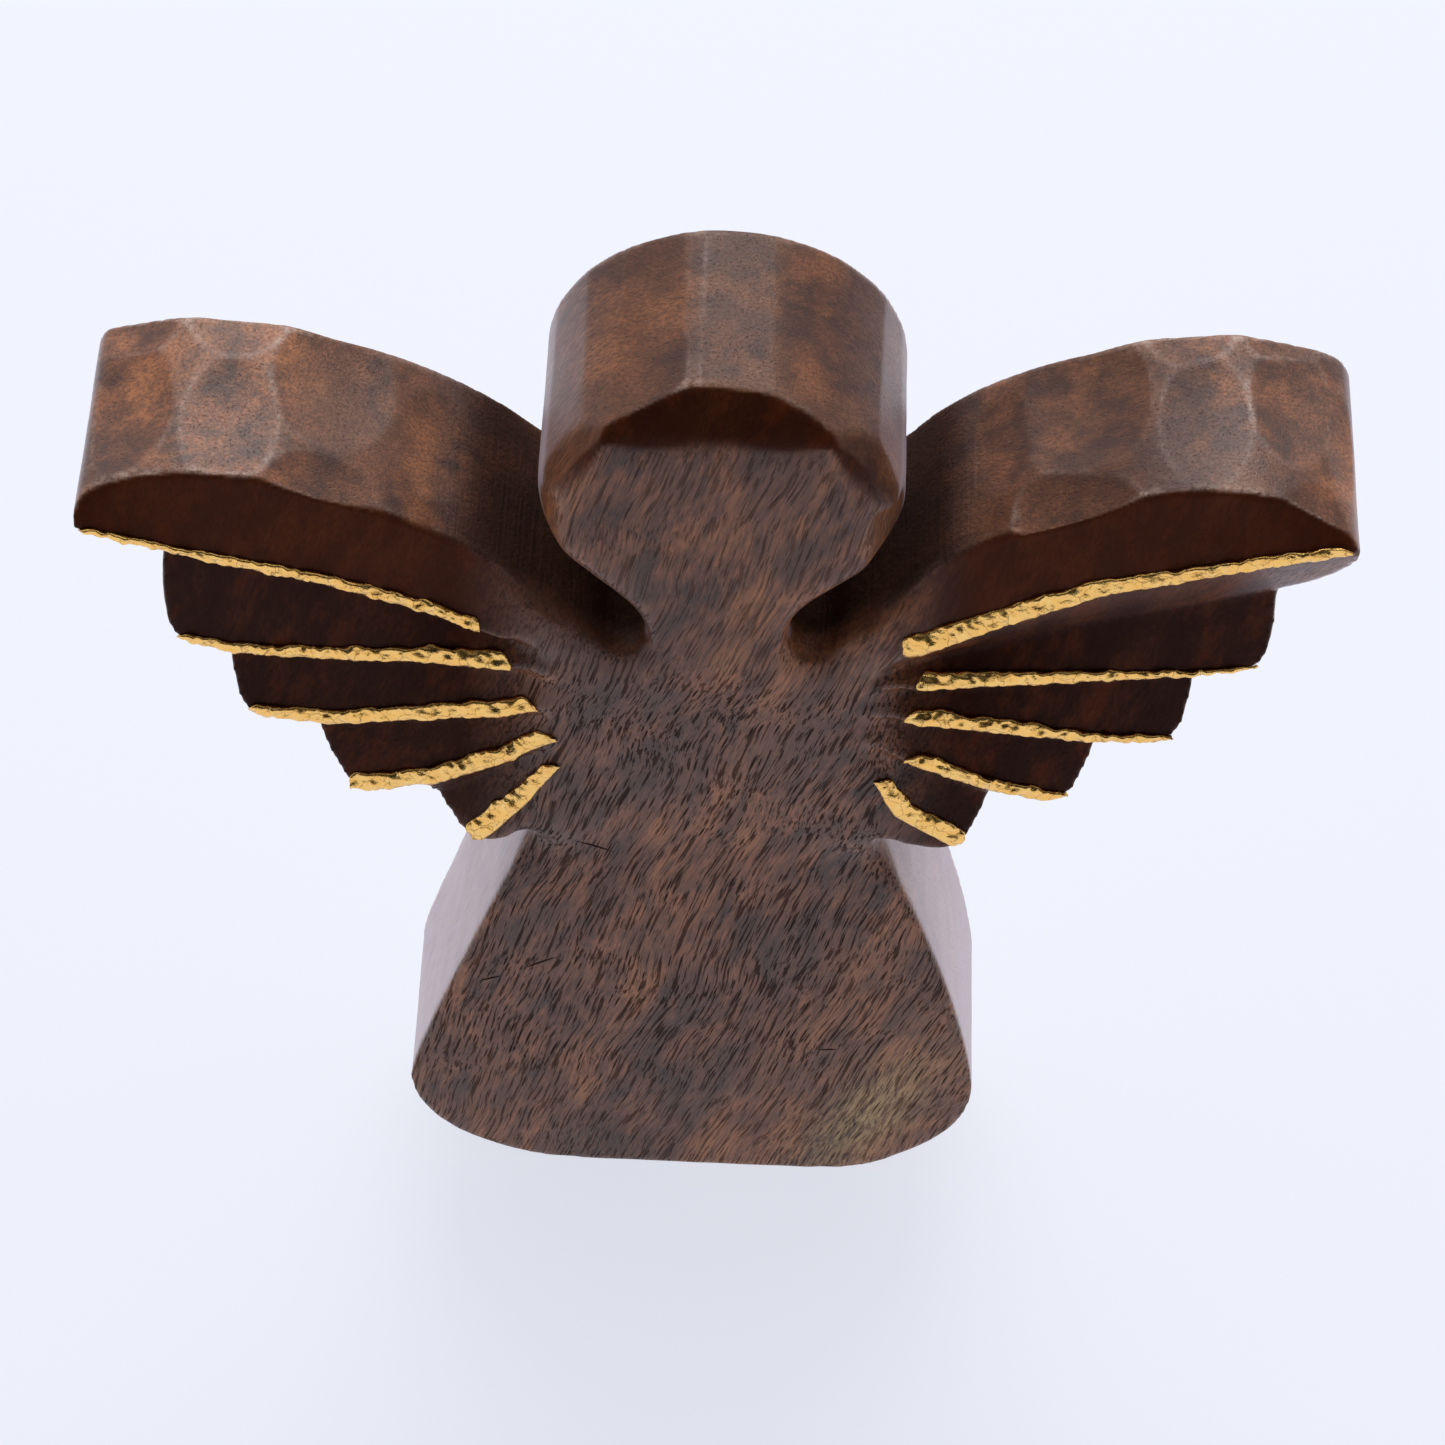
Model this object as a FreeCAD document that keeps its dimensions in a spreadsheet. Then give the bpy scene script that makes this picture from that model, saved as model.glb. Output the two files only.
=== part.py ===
"""Carved wooden angel figurine with gold leaf feather edges, as a parametric FreeCAD document.

The angel is sawn from one upright plank of wood and carved on its front: a plain round head, a
flared gown and two wings of five stepped feathers each. Ten thin strips of gold leaf are laid on
the lower edges of the feathers. Millimetres, +Z up, the angel faces -Y. Left and right are the
onlooker's, so +X is right. The origin is on the resting surface, under the middle of the plank.
"""
import FreeCAD, Part
import math
import os

import Sketcher

# ---------------------------------------------------------------- driving dimensions
SIZES = {
    "slab_thickness": 24.0,     # plank, front to back
    "gown_recess": 2.3,         # the gown's front lies this far behind the feather crests
    "gown_top": 74.0,           # height where the gown meets the wings
    "neck_level": 111.0,        # height where the chest ramp comes level with the face
    "chest_half_width": 12.0,   # the ramp on the chest is full this far to each side
    "chest_fade": 7.0,          # and runs out over this width
    "bevel_length": 25.0,       # reach of each flat cut across the head's front rim
    "wing_top_depth": 3.2,      # the wing's top edge starts this far behind the crests
    "valley_depth": 2.6,        # grooves between two feathers
    "fade_depth": 0.4,          # depth of a groove at its inner end
    "leaf_width": 2.1,          # gold leaf, up the slope of its feather
    "leaf_thickness": 0.25,
    "leaf_gap": 0.05,           # bed of size glue under the leaf
    "leaf_end_margin": 0.3,     # bare wood between the leaf and the feather's tip
}

# Distances from the middle of the plank at which the feathers' heights are given.
STATIONS = (16.0, 21.0, 30.0, 40.0, 50.0, 67.0)

# Heights of the crests, the top feather first, one value for each station that it reaches.
CRESTS = {
    "left": (
        (110.5, 113.4, 118.6, 122.6, 125.2, 130.4),
        (107.6, 108.6, 109.6, 109.4, 109.9, 115.0),
        (101.6, 100.5, 99.2, 97.6, 98.9, 102.0),
        (96.4, 92.2, 87.1, 84.6),
        (91.0, 82.8, 69.0),
    ),
    "right": (
        (110.5, 113.6, 120.2, 126.2, 129.9, 135.6),
        (107.0, 107.8, 109.4, 111.0, 112.5, 116.4),
        (102.8, 101.9, 100.9, 100.0, 100.4, 103.0),
        (98.6, 94.8, 90.4, 87.5),
        (95.5, 84.6, 77.0),
    ),
}
WING_TOPS = {
    "left": (116.6, 121.5, 128.6, 133.0, 135.5, 135.5),
    "right": (116.4, 122.8, 131.4, 136.3, 139.2, 139.2),
}
# Where the bottom of each groove lies between its two crests, at the root and at the tip.
VALLEY_SHARE = {
    "left": ((0.40, 0.17), (0.40, 0.17), (0.40, 0.20), (0.40, 0.25)),
    "right": ((0.68, 0.48), (0.48, 0.22), (0.42, 0.20), (0.40, 0.25)),
}
# Reach of each strip of gold leaf, from its inner end to the feather's tip.
LEAF_REACH = {
    "left": ((23.5, 64.2), (20.5, 55.7), (18.0, 49.1), (16.4, 39.4), (16.3, 25.8)),
    "right": ((19.7, 63.2), (21.2, 57.1), (20.3, 49.8), (20.9, 39.7), (18.3, 28.5)),
}

# The head is a disc with a smaller, tighter curve at each cheek.
HEAD_CENTRE = (0.5, 133.5)
HEAD_RADIUS = 18.5
CHEEK_RADIUS = 8.0
CHEEK_TURN = 42.0               # degrees that the cheek curves in before the straight jaw

# Flat cuts on the head's front rim: degrees from the top, drop on the face, depth on the side.
RIM_BEVELS = {
    "top": (2.0, 5.2, 3.8),
    "left": (-58.0, 2.0, 4.2),
    "right": (60.0, 1.8, 4.2),
}


def on_circle(centre_x, radius, degrees):
    """Point of a circle at the head's height, counted from +X."""
    angle = math.radians(degrees)
    return centre_x + radius * math.cos(angle), HEAD_CENTRE[1] + radius * math.sin(angle)


def head_arcs():
    """Right cheek, crown and left cheek as tangent arcs."""
    inset = HEAD_RADIUS - CHEEK_RADIUS
    right = HEAD_CENTRE[0] + inset
    left = HEAD_CENTRE[0] - inset
    return (
        (on_circle(right, CHEEK_RADIUS, -CHEEK_TURN),),
        (on_circle(right, CHEEK_RADIUS, -CHEEK_TURN / 2), on_circle(right, CHEEK_RADIUS, 0)),
        (on_circle(HEAD_CENTRE[0], HEAD_RADIUS, 90), on_circle(left, CHEEK_RADIUS, 180)),
        (on_circle(left, CHEEK_RADIUS, 180 + CHEEK_TURN / 2),
         on_circle(left, CHEEK_RADIUS, 180 + CHEEK_TURN)),
    )


# Outline of the plank seen from the front, (x, z). A point followed by another one in the same
# tuple is an arc: it passes through the first and ends at the second.
BASE_START = (-15.0, 0.0)
OUTLINE = (
    ((15.0, 0.0),),
    ((20.5, 1.0), (25.5, 4.4)),                 # right bottom corner of the gown
    ((31.8, 12.2), (33.6, 21.0)),
    ((27.6, 48.7), (19.2, 74.0)),               # right side of the gown
    ((18.9, 77.0), (20.6, 78.5)),
    ((23.8, 77.8),),                            # right feather 5
    ((26.6, 77.8), (28.5, 79.4)),
    ((30.3, 83.6), (31.2, 89.7)),
    ((35.4, 88.4),),                            # right feather 4
    ((38.2, 88.4), (39.8, 90.6)),
    ((41.2, 95.0), (41.8, 99.8)),
    ((46.2, 99.8),),                            # right feather 3
    ((48.6, 100.6), (50.0, 102.8)),
    ((50.5, 107.5), (50.3, 112.4)),
    ((54.5, 113.2),),                           # right feather 2
    ((56.5, 114.4), (57.4, 116.5)),
    ((57.6, 120.5), (57.2, 124.2)),
    ((59.6, 125.3),),                           # right feather 1 and the wing's tip
    ((62.8, 128.0), (64.6, 131.9)),
    ((64.1, 134.6), (61.2, 137.1)),
    ((51.0, 139.2), (38.0, 135.4)),             # right wing's top
    ((28.5, 130.4), (20.2, 121.8)),
    ((13.4, 114.2),),
    ((10.6, 111.4), (7.8, 114.2)),              # right notch beside the neck
    ((8.3, 117.6), (9.9, 120.6)),
    *head_arcs(),
    ((-8.9, 119.8),),
    ((-7.2, 116.6), (-6.5, 113.4)),
    ((-9.0, 111.4), (-12.2, 113.4)),            # left notch beside the neck
    ((-20.9, 121.4),),
    ((-29.8, 128.4), (-40.0, 133.0)),           # left wing's top
    ((-51.0, 135.6), (-61.0, 134.1)),
    ((-63.9, 132.4), (-64.6, 129.9)),
    ((-63.2, 127.9), (-60.4, 126.4)),           # left wing's tip and feather 1
    ((-55.8, 125.6),),
    ((-56.6, 120.0), (-56.5, 114.3)),
    ((-55.7, 112.2), (-54.0, 110.9)),           # left feather 2
    ((-50.4, 109.9),),
    ((-50.5, 105.0), (-49.8, 100.4)),
    ((-48.5, 98.6), (-46.3, 97.8)),             # left feather 3
    ((-42.3, 97.2),),
    ((-41.7, 92.0), (-39.6, 87.0)),
    ((-38.2, 85.1), (-35.8, 84.7)),             # left feather 4
    ((-30.8, 86.6),),
    ((-30.0, 82.2), (-28.0, 78.2)),
    ((-26.2, 76.2), (-23.2, 75.8)),             # left feather 5
    ((-20.5, 77.2),),
    ((-19.2, 76.2), (-19.5, 74.0)),
    ((-28.5, 45.0), (-35.6, 19.6)),             # left side of the gown
    ((-33.2, 10.2), (-27.0, 3.8)),              # left bottom corner of the gown
    ((-21.5, 1.0), BASE_START),
)
CUT_MARGIN = 1.0                # cutting bodies stand out of the wood by this much

SIDES = {"left": -1.0, "right": 1.0}

doc = FreeCAD.newDocument("carved_angel")
sheet = doc.addObject("Spreadsheet::Sheet", "sizes")
for row, (alias, value) in enumerate(SIZES.items(), start=1):
    cell = "B%d" % row
    sheet.set("A%d" % row, alias)
    sheet.set(cell, str(value))
    sheet.setAlias(cell, alias)
doc.recompute()


def size(alias):
    """Value of a driving dimension, read back from the sheet."""
    return float(getattr(sheet, alias))


# ---------------------------------------------------------------- sketch helpers
def new_body(label):
    """A body whose front plane is the plank's front, half the plank ahead of the origin."""
    body = doc.addObject("PartDesign::Body", label)
    body.Label = label
    body.setExpression("Placement.Base.y", "-sizes.slab_thickness / 2")
    return body


def new_sketch(body, name, plane_role, offset=0.0):
    """A sketch on one of the body's origin planes, moved along the plane's normal."""
    plane = next(f for f in body.Origin.OriginFeatures if f.Role == plane_role)
    sketch = body.newObject("Sketcher::SketchObject", name)
    sketch.AttachmentSupport = [(plane, "")]
    sketch.MapMode = "FlatFace"
    sketch.AttachmentOffset = FreeCAD.Placement(FreeCAD.Vector(0, 0, offset), FreeCAD.Rotation())
    return sketch


def add_polygon(sketch, corners):
    """A closed polygon with joined corners."""
    points = [FreeCAD.Vector(a, b, 0) for a, b in corners]
    count = len(points)
    for i in range(count):
        sketch.addGeometry(Part.LineSegment(points[i], points[(i + 1) % count]), False)
    for i in range(count):
        sketch.addConstraint(Sketcher.Constraint("Coincident", i, 2, (i + 1) % count, 1))


def add_outline(sketch, start, steps):
    """A closed outline of lines and three-point arcs."""
    here = FreeCAD.Vector(start[0], start[1], 0)
    for step in steps:
        end = FreeCAD.Vector(step[-1][0], step[-1][1], 0)
        if len(step) == 1:
            sketch.addGeometry(Part.LineSegment(here, end), False)
        else:
            middle = FreeCAD.Vector(step[0][0], step[0][1], 0)
            sketch.addGeometry(Part.Arc(here, middle, end), False)
        here = end


# ---------------------------------------------------------------- feather geometry
def at(heights, x):
    """Height of a line given at the stations, between two of them or past the last one."""
    last = len(heights) - 1
    i = max(k for k in range(last) if k == 0 or STATIONS[k] <= x)
    share = (x - STATIONS[i]) / (STATIONS[i + 1] - STATIONS[i])
    return heights[i] + share * (heights[i + 1] - heights[i])


def valley_height(side, feather, x):
    """Height of the groove below a feather (0 is the top feather)."""
    root, tip = VALLEY_SHARE[side][feather]
    share = root + (tip - root) * (x - STATIONS[0]) / (STATIONS[-2] - STATIONS[0])
    upper = at(CRESTS[side][feather], x)
    lower = at(CRESTS[side][feather + 1], x)
    return upper - share * (upper - lower)


def depth_at(x, full_depth):
    """Depth of a groove: shallow at its inner end, full from the second station on."""
    share = min(1.0, (x - STATIONS[0]) / (STATIONS[1] - STATIONS[0]))
    return size("fade_depth") + share * (full_depth - size("fade_depth"))


def slope_top(side, feather, x):
    """(y, z) of the upper edge of a feather's slope."""
    if feather == 0:
        return depth_at(x, size("wing_top_depth")), at(WING_TOPS[side], x)
    return depth_at(x, size("valley_depth")), valley_height(side, feather - 1, x)


def ahead(crest, back):
    """The point on the line from back through the crest, in front of the wood."""
    rise = (crest - back[1]) / back[0]
    return -CUT_MARGIN, crest + rise * CUT_MARGIN


def groove_section(side, feather, x):
    """Triangle between a crest, the groove below it and the next crest."""
    bottom = (depth_at(x, size("valley_depth")), valley_height(side, feather, x))
    upper = ahead(at(CRESTS[side][feather], x), bottom)
    lower = ahead(at(CRESTS[side][feather + 1], x), bottom)
    return upper, bottom, lower


def top_section(side, x):
    """Wedge ahead of the top feather's slope."""
    back = slope_top(side, 0, x)
    low = ahead(at(CRESTS[side][0], x), back)
    beyond = (back[0] + (back[0] - low[0]), back[1] + (back[1] - low[1]))
    return low, beyond, (-CUT_MARGIN, beyond[1] + CUT_MARGIN)


def leaf_section(side, feather, x):
    """Thin rectangle lying on a feather's slope, from the crest upwards."""
    top = slope_top(side, feather, x)
    crest = at(CRESTS[side][feather], x)
    along = FreeCAD.Vector(top[0], top[1] - crest, 0)
    along.normalize()
    out = FreeCAD.Vector(-along.y, along.x, 0)
    low = FreeCAD.Vector(0, crest, 0) + out * size("leaf_gap")
    high = low + along * size("leaf_width")
    skin = out * size("leaf_thickness")
    return [(p.x, p.y) for p in (low, high, high + skin, low + skin)]


def chest_section(depth):
    """Triangle ahead of the chest: as deep as the gown at its top, nothing at the neck."""
    top = size("gown_top")
    level = size("neck_level")
    return (-CUT_MARGIN, top), (depth, top), (0.0, level), (-CUT_MARGIN, level)


def add_loft(body, kind, name, stations):
    """A straight-ruled loft through (x, section) pairs."""
    sketches = []
    for number, (x, corners) in enumerate(stations):
        sketch = new_sketch(body, "%s_section_%d" % (name, number), "YZ_Plane", x)
        add_polygon(sketch, corners)
        sketches.append(sketch)
    feature = body.newObject(kind, name)
    feature.Profile = sketches[0]
    feature.Sections = sketches[1:]
    feature.Ruled = True


# ---------------------------------------------------------------- the carved wood
def bevel_rim(body, name, angle, drop, depth):
    """A flat cut across the head's front rim, turned about the head's middle by an angle."""
    sketch = new_sketch(body, "bevel_section_" + name, "YZ_Plane")
    middle = FreeCAD.Vector(0, HEAD_CENTRE[1], HEAD_CENTRE[0])
    turn = FreeCAD.Rotation(FreeCAD.Vector(1, 0, 0), -angle)
    sketch.AttachmentOffset = FreeCAD.Placement(middle, turn)
    rise = drop / depth * CUT_MARGIN
    low = HEAD_RADIUS - drop - rise
    high = HEAD_RADIUS + rise
    add_polygon(sketch, ((-CUT_MARGIN, low), (depth + CUT_MARGIN, high), (-CUT_MARGIN, high)))
    cut = body.newObject("PartDesign::Pocket", "bevel_" + name)
    cut.Profile = sketch
    cut.Midplane = True
    cut.setExpression("Length", "sizes.bevel_length")


def carve_figure():
    """Plank sawn to the outline, then the head's rim, the gown, the chest and the feathers."""
    body = new_body("carved_figure")
    outline = new_sketch(body, "front_outline", "XZ_Plane")
    add_outline(outline, BASE_START, OUTLINE)
    plank = body.newObject("PartDesign::Pad", "plank")
    plank.Profile = outline
    plank.Reversed = True
    plank.setExpression("Length", "sizes.slab_thickness")
    doc.recompute()

    for name, (angle, drop, depth) in RIM_BEVELS.items():
        bevel_rim(body, name, angle, drop, depth)

    gown = new_sketch(body, "gown_front", "XZ_Plane")
    half = STATIONS[-1]
    top = size("gown_top")
    recess = size("gown_recess")
    add_polygon(gown, ((-half, -CUT_MARGIN), (half, -CUT_MARGIN), (half, top), (-half, top)))
    gown_cut = body.newObject("PartDesign::Pocket", "gown_recess")
    gown_cut.Profile = gown
    gown_cut.setExpression("Length", "sizes.gown_recess")

    inner = size("chest_half_width")
    outer = inner + size("chest_fade")
    fade = size("fade_depth")
    chest_profile = ((-outer, fade), (-inner, recess), (inner, recess), (outer, fade))
    add_loft(body, "PartDesign::SubtractiveLoft", "chest_ramp",
             [(x, chest_section(depth)) for x, depth in chest_profile])

    for side, sign in SIDES.items():
        crests = CRESTS[side]
        add_loft(body, "PartDesign::SubtractiveLoft", "wing_slope_" + side,
                 [(sign * x, top_section(side, x)) for x in STATIONS])
        for feather in range(len(crests) - 1):
            reach = STATIONS[:len(crests[feather])]
            add_loft(body, "PartDesign::SubtractiveLoft", "groove_%s_%d" % (side, feather + 1),
                     [(sign * x, groove_section(side, feather, x)) for x in reach])
    return body


def lay_leaf(side, feather):
    """One strip of gold leaf along the crest of one feather."""
    inner, tip = LEAF_REACH[side][feather]
    outer = tip - size("leaf_end_margin")
    xs = [inner] + [x for x in STATIONS if inner < x < outer] + [outer]
    body = new_body("gold_leaf_%s_%d" % (side, feather + 1))
    add_loft(body, "PartDesign::AdditiveLoft", "leaf_%s_%d" % (side, feather + 1),
             [(SIDES[side] * x, leaf_section(side, feather, x)) for x in xs])
    return body


bodies = [carve_figure()]
for wing in SIDES:
    for number in range(len(CRESTS[wing])):
        bodies.append(lay_leaf(wing, number))
doc.recompute()

# ---------------------------------------------------------------- checks and files
for item in doc.Objects:
    if "Invalid" in item.State or "Error" in item.State:
        raise RuntimeError("%s failed: %s" % (item.Name, item.State))
for body in bodies:
    if body.Shape.isNull() or not body.Shape.isValid():
        raise RuntimeError("%s has no valid shape" % body.Label)
    if len(body.Shape.Solids) != 1:
        raise RuntimeError("%s is %d solids" % (body.Label, len(body.Shape.Solids)))

os.makedirs("parts", exist_ok=True)
for body in bodies:
    body.Shape.exportStep("parts/%s.step" % body.Label)
    box = body.Shape.BoundBox
    print("%s %.1f mm3, x %.2f..%.2f, y %.2f..%.2f, z %.2f..%.2f" % (
        body.Label, body.Shape.Volume, box.XMin, box.XMax, box.YMin, box.YMax, box.ZMin, box.ZMax))
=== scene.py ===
import math
import random

import bpy
import numpy as np
from mathutils import Matrix, Vector, noise
from mathutils.bvhtree import BVHTree


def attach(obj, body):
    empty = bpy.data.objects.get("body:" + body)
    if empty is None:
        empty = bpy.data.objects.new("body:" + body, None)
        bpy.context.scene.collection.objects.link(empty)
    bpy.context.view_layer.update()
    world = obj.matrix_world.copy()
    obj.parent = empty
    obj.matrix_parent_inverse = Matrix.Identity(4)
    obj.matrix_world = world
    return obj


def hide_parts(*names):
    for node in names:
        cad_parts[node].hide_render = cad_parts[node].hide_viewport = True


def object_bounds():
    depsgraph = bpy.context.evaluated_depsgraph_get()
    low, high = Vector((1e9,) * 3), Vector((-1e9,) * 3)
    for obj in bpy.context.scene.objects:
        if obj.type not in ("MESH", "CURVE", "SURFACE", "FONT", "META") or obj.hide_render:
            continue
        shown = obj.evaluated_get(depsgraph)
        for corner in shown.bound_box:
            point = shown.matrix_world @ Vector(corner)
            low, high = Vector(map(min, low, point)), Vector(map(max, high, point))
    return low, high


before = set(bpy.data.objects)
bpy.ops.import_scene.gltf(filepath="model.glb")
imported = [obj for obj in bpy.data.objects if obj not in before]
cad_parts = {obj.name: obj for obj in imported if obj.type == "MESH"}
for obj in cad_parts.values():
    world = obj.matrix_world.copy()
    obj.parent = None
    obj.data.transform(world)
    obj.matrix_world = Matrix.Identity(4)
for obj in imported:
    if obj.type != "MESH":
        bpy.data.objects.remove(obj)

# A carved angel of dark hardwood, with gold leaf along its feathers' lower edges. Everything is
# in metres and in the CAD's frame: +Z is up, the carved front faces -Y, +X is the onlooker's
# right. Tables and masks are in millimetres.
CAD_LOW, CAD_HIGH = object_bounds()
MM = 0.001
SCENE = bpy.context.scene


# ---------------------------------------------------------------- mesh helpers
def link(name, mesh):
    """A new object in the scene that shows the mesh."""
    piece = bpy.data.objects.new(name, mesh)
    SCENE.collection.objects.link(piece)
    return piece


def applied(piece):
    """The piece's mesh with its modifiers applied, and the modifiers removed."""
    graph = bpy.context.evaluated_depsgraph_get()
    mesh = bpy.data.meshes.new_from_object(piece.evaluated_get(graph))
    piece.modifiers.clear()
    piece.data = mesh
    return mesh


def read_points(mesh):
    flat = np.empty(len(mesh.vertices) * 3, np.float64)
    mesh.vertices.foreach_get("co", flat)
    return flat.reshape(-1, 3)


def write_points(mesh, points):
    mesh.vertices.foreach_set("co", points.astype(np.float32).ravel())
    mesh.update()


def read_normals(mesh):
    flat = np.empty(len(mesh.vertices) * 3, np.float32)
    mesh.vertices.foreach_get("normal", flat)
    return flat.reshape(-1, 3).astype(np.float64)


def read_edges(mesh):
    flat = np.empty(len(mesh.edges) * 2, np.int32)
    mesh.edges.foreach_get("vertices", flat)
    return flat.reshape(-1, 2)


def smoothed(points, edges, weight, rounds):
    """Moves each point part of the way to the middle of its neighbours, again and again."""
    count = len(points)
    ends = np.concatenate((edges[:, 0], edges[:, 1]))
    others = np.concatenate((edges[:, 1], edges[:, 0]))
    neighbours = np.bincount(ends, minlength=count)
    share = (np.broadcast_to(weight, (count,)) * (neighbours > 0))[:, None]
    points = points.copy()
    for _ in range(rounds):
        middle = np.stack([np.bincount(ends, points[others, k], count) for k in range(3)], 1)
        points += share * (middle / neighbours.clip(1)[:, None] - points)
    return points


def ramp(values, low, high):
    """0 below low, 1 above high, smooth between."""
    t = np.clip((values - low) / (high - low), 0, 1)
    return t * t * (3 - 2 * t)


def band(values, low, high, soft):
    """1 between low and high, fading out over soft on both sides."""
    return ramp(values, low - soft, low) * (1 - ramp(values, high, high + soft))


def noise_at(points, scale, seed):
    """Smooth noise from about -1 to 1, with features as large as scale."""
    shift = Vector((seed * 7.3, seed * 3.1, seed * 5.7))
    return np.array([noise.noise(Vector(p) / scale + shift) for p in points])


# ---------------------------------------------------------------- the carved wood
VOXEL = 0.45 * MM
WOOD_FACES = 190000             # triangles kept in the carved figure
EVEN_ROUNDS = 24                # rounds of smoothing: the whole outline,
GOWN_ROUNDS = 260               # the gown's sides,
HEAD_ROUNDS = 60                # the head's front rim,
ROOT_ROUNDS = 110               # the wings' roots on the chest,
EDGE_ROUNDS = 3                 # every edge,
RIM_ROUNDS = 5                  # and the rims of the gown and the face
WAVES = ((0.08, 13, 1), (0.03, 4, 2))   # unevenness by hand: height, size (mm), seed

# Soft zones of the figure: distance from the middle, then height. Each runs from, to, and fades
# out over the third number (mm).
ZONES = {
    "chest": ((3, 14.5, 3.5), (62, 108, 5)),
    "hips": ((8, 19, 3), (66, 77, 3)),
    "jaw": ((8, 19, 3), (113, 136, 4)),
    "notches": ((8, 23, 8), (108, 125, 8)),
}
GOWN_SIDES = (12, 56, 8)
FRONT_SIDE = (-9.0, -6.0)       # depth where the front side ends
WALL_NORMAL = 0.3               # a wall's normal leans less than this to the front or back

# Facets that the knife left on the wings' tops: x, y of the middle, lean to the back, depth (mm).
# Neighbours overlap, so that crisp ridges stay between them.
FACETS = (
    (-49.3, -1.5, 0.00, 0.62), (-60.2, -1.0, 0.02, 0.62), (-49.8, 10.0, 0.13, 0.55),
    (-60.5, 9.5, 0.10, 0.45), (-50.0, -10.5, -0.13, 0.55), (-38.8, 4.0, 0.03, 0.55),
    (-39.0, -7.5, -0.09, 0.50), (-29.0, 1.0, 0.02, 0.40),
    (48.6, 0.5, 0.00, 0.62), (57.6, 2.0, 0.03, 0.55), (47.5, 10.5, 0.13, 0.50),
    (38.4, 3.0, 0.03, 0.50), (57.0, 11.0, 0.10, 0.45), (63.0, 0.0, 0.00, 0.40),
    (50.0, -9.5, -0.12, 0.55), (60.5, -9.0, -0.10, 0.45), (39.0, -8.0, -0.09, 0.50),
    (29.0, 2.0, 0.02, 0.35),
)
FACET_RADIUS = 60 * MM          # how hollow the facets are
FACET_REACH = 10 * MM
HEAD_CLEAR = 22 * MM            # the facets stay this far from the middle
# Flats that run from front to back over the head: degrees from the top, width across (mm).
HEAD_FLATS = ((-60.0, 8.5), (-24.0, 9.0), (3.0, 8.4), (66.0, 7.5))
HEAD_TILT = 0.012               # most that a flat slopes to the front or back
HEAD_X, HEAD_Z = 0.5, 133.5     # middle of the round head (mm)
HEAD_SIDE = 21                  # the head and its notches end here (mm)
HEAD_MIDDLE = Vector((HEAD_X, 0, HEAD_Z)) * MM
HEAD_RADIUS = 18.5 * MM


def zone(name, x, z):
    """1 inside a zone of the figure, fading out around it."""
    across, up = ZONES[name]
    return band(np.abs(x), *across) * band(z, *up)


def from_head_middle(x, z):
    return np.hypot(x - HEAD_X, z - HEAD_Z)


def cut_facets(points, tree):
    """Presses shallow hollows into the tops of the wings."""
    above = CAD_HIGH.z + 10 * MM
    inside = CAD_HIGH.y - 3 * MM
    for x, y, lean, depth in FACETS:
        start = Vector((x * MM, max(-inside, min(inside, y * MM)), above))
        spot, normal, _, _ = tree.ray_cast(start, Vector((0, 0, -1)))
        spot.y = y * MM
        out = (normal + Vector((0, lean, 0))).normalized()
        centre = np.array(spot + out * (FACET_RADIUS - depth * MM))
        away = points - centre
        distance = np.linalg.norm(away, axis=1)
        near = np.linalg.norm(points - np.array(spot), axis=1) < FACET_REACH
        cut = near & (distance < FACET_RADIUS) & (np.abs(points[:, 0]) > HEAD_CLEAR)
        points[cut] = centre + away[cut] * (FACET_RADIUS / distance[cut])[:, None]


def flatten_head(points):
    """Cuts the head's crown into long soft flats, each a little tilted."""
    rng = random.Random(4)
    spare = 0.12 * MM
    share = 0.8                 # of what stands over a flat is taken off
    for degrees, width in HEAD_FLATS:
        angle = math.radians(degrees)
        tilt = rng.uniform(-HEAD_TILT, HEAD_TILT)
        out = Vector((math.sin(angle), tilt, math.cos(angle))).normalized()
        reach = math.sqrt(HEAD_RADIUS ** 2 - (width * MM / 2) ** 2) + spare
        height = (points - np.array(HEAD_MIDDLE)) @ np.array(out)
        on_head = points[:, 2] > HEAD_MIDDLE.z - 6 * MM
        on_head &= np.abs(points[:, 0] - HEAD_MIDDLE.x) < HEAD_RADIUS + MM
        over = np.clip(height - reach, 0, None) * on_head
        points -= share * over[:, None] * np.array(out)


def smooth_walls(points, edges, normals, rounds, share):
    """Evens out the sawn outline without rounding its front and back edges."""
    wall = np.abs(normals[:, 1]) < WALL_NORMAL
    kept = edges[wall[edges[:, 0]] & wall[edges[:, 1]]]
    evened = smoothed(points, kept, 0.5 * share, rounds)
    points[wall, 0] = evened[wall, 0]
    points[wall, 2] = evened[wall, 2]


def soften(points, edges, normals):
    """Evens out the outline, rounds the edges and blends the wings' roots into the chest."""
    smooth_walls(points, edges, normals, EVEN_ROUNDS, 1.0)
    smooth_walls(points, edges, normals, GOWN_ROUNDS, band(points[:, 2] / MM, *GOWN_SIDES))
    x, y, z = points.T / MM
    front = 1 - ramp(y, *FRONT_SIDE)
    brow = ramp(z, 139, 144) * (1 - ramp(from_head_middle(x, z), 15.8, 17.4)) * front
    jaw = zone("jaw", x, z) * front
    points = smoothed(points, edges, 0.5 * np.maximum(brow, 0.8 * jaw), HEAD_ROUNDS)
    roots = np.maximum(zone("chest", x, z) * front, zone("hips", x, z) * front)
    points = smoothed(points, edges, 0.6 * roots, ROOT_ROUNDS)
    wings = ramp(np.abs(x), 14, 20) * ramp(z, 70, 78) * front
    points = smoothed(points, edges, 0.5 * (1 - 0.5 * wings), EDGE_ROUNDS)
    rims = (1 - ramp(z, 66, 76)) + band(z, 114, 128, 4) * (1 - ramp(np.abs(x), 19, 22))
    return smoothed(points, edges, 0.5 * rims.clip(0, 1), RIM_ROUNDS)


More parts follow.
